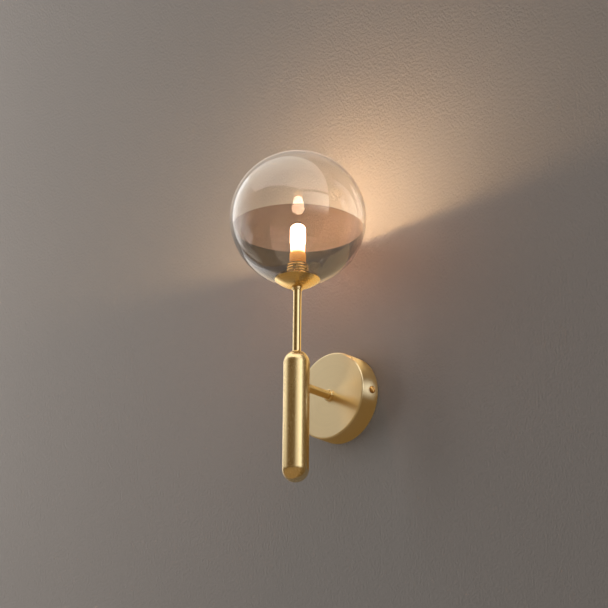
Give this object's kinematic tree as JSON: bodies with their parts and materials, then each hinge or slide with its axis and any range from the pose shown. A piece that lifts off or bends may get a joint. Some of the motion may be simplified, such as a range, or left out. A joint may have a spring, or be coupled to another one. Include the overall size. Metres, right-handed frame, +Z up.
{
  "type": "torch wall sconce",
  "caption": "Wall light with a round plate, a short arm, a long capsule, a slim stem, a dish and a half-mirrored glass ball round a capsule lamp.",
  "frame": {"origin": "centre of the two wall slots, where the plate's axis meets the wall", "axes": "+X along the wall, +Y into the wall, +Z up; the light stands out towards -Y"},
  "size_m": [0.1548, 0.1575, 0.388],
  "materials": {
    "satin_brass": "satin, finely brushed along its length",
    "polished_brass": "polished",
    "brushed_brass": "brushed in rings",
    "zinc_steel": "zinc plated",
    "threaded_steel": "zinc plated, threaded",
    "terminal_brass": "plain turned",
    "tinned_copper": "tinned",
    "black_rubber": "matte",
    "clear_silicone": "translucent silicone",
    "white_nylon": "moulded",
    "brown_wire": "extruded insulation",
    "blue_wire": "extruded insulation",
    "green_yellow_wire": "extruded insulation",
    "clear_glass": "clear, blown",
    "mirror_film": "half-silvered smoke film",
    "ceramic": "unglazed ceramic",
    "lamp_body_white": "glossy",
    "lamp_diffuser_white": "milky diffuser",
    "circuit_board": "white lacquer"
  },
  "bodies": {
    "fixture": {"wall_bracket": "zinc_steel", "cable_bush": "black_rubber", "earth_screw": "zinc_steel", "earth_washer": "zinc_steel", "earth_ring_terminal": "tinned_copper", "earth_lead": "green_yellow_wire", "terminal_block": "white_nylon", "terminal_inserts": "terminal_brass", "terminal_screws": "zinc_steel", "block_screws": "zinc_steel", "lead_live": "brown_wire", "lead_neutral": "blue_wire", "backplate_cup": "satin_brass", "side_screws": "polished_brass", "arm_tube": "polished_brass", "arm_collar": "polished_brass", "arm_ferrule": "polished_brass", "arm_rear_nipple": "threaded_steel", "arm_washer": "zinc_steel", "arm_nut": "zinc_steel", "arm_front_nipple": "threaded_steel", "saddle_washer": "zinc_steel", "capsule_nut": "zinc_steel", "capsule_tube": "satin_brass", "capsule_top_cap": "satin_brass", "capsule_bottom_cap": "satin_brass", "stem_tube": "polished_brass", "stem_lower_nipple": "threaded_steel", "stem_nut": "zinc_steel", "stem_collar": "polished_brass", "globe_nipple": "threaded_steel", "globe_dish": "brushed_brass", "dish_nut": "zinc_steel", "gallery_sleeve": "zinc_steel", "lampholder_bush": "zinc_steel", "lampholder_body": "ceramic", "lampholder_contacts": "terminal_brass"},
    "seal": {"globe_seal": "clear_silicone"},
    "globe": {"glass_globe": "clear_glass", "mirror_coat": "mirror_film"},
    "bulb": {"bulb_pins": "tinned_copper", "bulb_body": "lamp_body_white", "driver_board": "circuit_board", "led_board": "circuit_board", "bulb_diffuser": "lamp_diffuser_white"}
  },
  "joints": [
    {"name": "globe_turn", "type": "hinge", "parent": "fixture", "child": "seal", "pos_m": [0, -0.0801, 0.1234], "axis": [0, 0, 1], "range_deg": [0, 720]},
    {"name": "globe_rise", "type": "slide", "parent": "seal", "child": "globe", "axis": [0, 0, 1], "range_m": [0, 0.006]},
    {"name": "bulb_pull", "type": "slide", "parent": "fixture", "child": "bulb", "axis": [0, 0, 1], "range_m": [0, 0.03]}
  ],
  "couplings": [
    {"joint": "globe_rise", "follows": "globe_turn", "m_per_rad": 0.000477}
  ]
}
